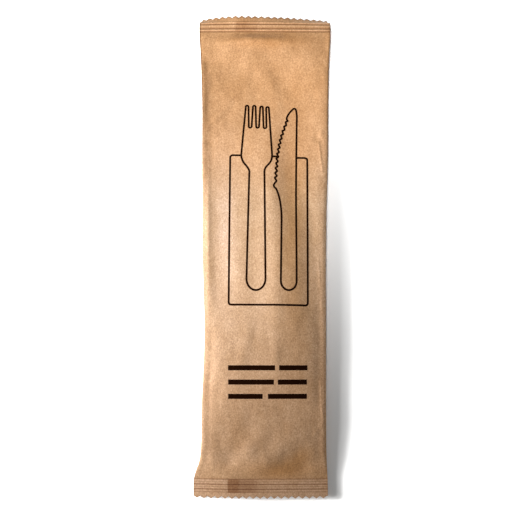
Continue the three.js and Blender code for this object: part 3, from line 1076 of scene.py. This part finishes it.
def stage_camera(look):
    data = bpy.data.cameras.new("camera")
    data.lens = look.lens
    data.sensor_width = 36.0
    data.clip_start = 0.01
    camera = linked("camera", data)
    back = Vector((0.0, -math.sin(look.lean), math.cos(look.lean)))
    camera.location = Vector(CAMERA_AIM) + back * look.distance
    camera.rotation_euler = facing(-back)
    bpy.context.scene.camera = camera


# ----------------------------------------------------------------------
# Operators
# ----------------------------------------------------------------------

def shared_material(name, make, colours):
    return bpy.data.materials.get(name) or make(colours)


def printed_piece(name, mesh, pack, width, step, strips):
    """Lines printed on the pouch, this wide, in steps along them and strips across them."""
    piece = ribbon_piece(name, mesh, {
        "Width": width, "Film": pack.print.film, "Step": step, "Strips": strips,
        "Paper": bpy.data.objects["kraft_pouch"],
        "Ink": shared_material("ink_on_kraft", ink_material, pack.colours)})
    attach(piece, "root")


class PACK_OT_pouch(Operator):
    """Make the sealed kraft-paper pouch"""
    bl_idname = "cutlery_pack.pouch"
    bl_label = "Kraft Pouch"

    def execute(self, context):
        pack = context.scene.cutlery_pack
        mesh = pouch_mesh(pack.pouch)
        mesh.polygons.foreach_set("use_smooth", [True] * len(mesh.polygons))
        mesh.set_sharp_from_angle(angle=math.radians(50))
        mesh.materials.append(shared_material("unbleached_kraft", kraft_material, pack.colours))
        piece = linked("kraft_pouch", mesh)
        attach(piece, "root")
        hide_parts(NODE)
        return {"FINISHED"}


class PACK_OT_outlines(Operator):
    """Print the outlines of napkin, fork and knife on the pouch"""
    bl_idname = "cutlery_pack.outlines"
    bl_label = "Printed Outlines"

    def execute(self, context):
        pack = context.scene.cutlery_pack
        mesh = lines_mesh("outline_lines", [fork_outline(), knife_outline()], napkin_lines())
        printed_piece("printed_outlines", mesh, pack, pack.print.stroke, 0.35 * MM, 1)
        return {"FINISHED"}


class PACK_OT_bars(Operator):
    """Print three rows of plain bars on the pouch"""
    bl_idname = "cutlery_pack.bars"
    bl_label = "Printed Bars"

    def execute(self, context):
        pack = context.scene.cutlery_pack
        lines = [[(start, y), (stop, y)] for y, row in BAR_ROWS for start, stop in row]
        mesh = lines_mesh("bar_lines", [], lines)
        printed_piece("printed_bars", mesh, pack, pack.print.bar_height, 0.5 * MM, 4)
        return {"FINISHED"}


class PACK_OT_stage(Operator):
    """Make the floor, the lights and the camera"""
    bl_idname = "cutlery_pack.stage"
    bl_label = "Stage"

    def execute(self, context):
        look = context.scene.cutlery_pack.stage
        stage_lights(look, stage_floor(look))
        stage_sky(look)
        stage_camera(look)
        return {"FINISHED"}


class PACK_PT_panel(Panel):
    """Buttons and settings of the pack"""
    bl_idname = "PACK_PT_panel"
    bl_label = "Cutlery Pack"
    bl_space_type = "VIEW_3D"
    bl_region_type = "UI"
    bl_category = "Cutlery Pack"

    def draw(self, context):
        pack = context.scene.cutlery_pack
        for operator in OPERATORS:
            self.layout.operator(operator.bl_idname)
        for settings in (pack.pouch, pack.print, pack.colours, pack.stage):
            box = self.layout.box()
            for name in settings.__annotations__:
                box.prop(settings, name)


OPERATORS = (PACK_OT_stage, PACK_OT_pouch, PACK_OT_outlines, PACK_OT_bars)
CLASSES = (PouchSizes, PrintSizes, PackColours, StageLook, CutleryPack, *OPERATORS, PACK_PT_panel)


def register():
    for cls in CLASSES:
        bpy.utils.register_class(cls)
    bpy.types.Scene.cutlery_pack = PointerProperty(type=CutleryPack)


def unregister():
    del bpy.types.Scene.cutlery_pack
    for cls in reversed(CLASSES):
        bpy.utils.unregister_class(cls)


def main():
    register()
    bpy.ops.cutlery_pack.stage()
    bpy.ops.cutlery_pack.pouch()
    bpy.ops.cutlery_pack.outlines()
    bpy.ops.cutlery_pack.bars()


if __name__ == "__main__":
    main()
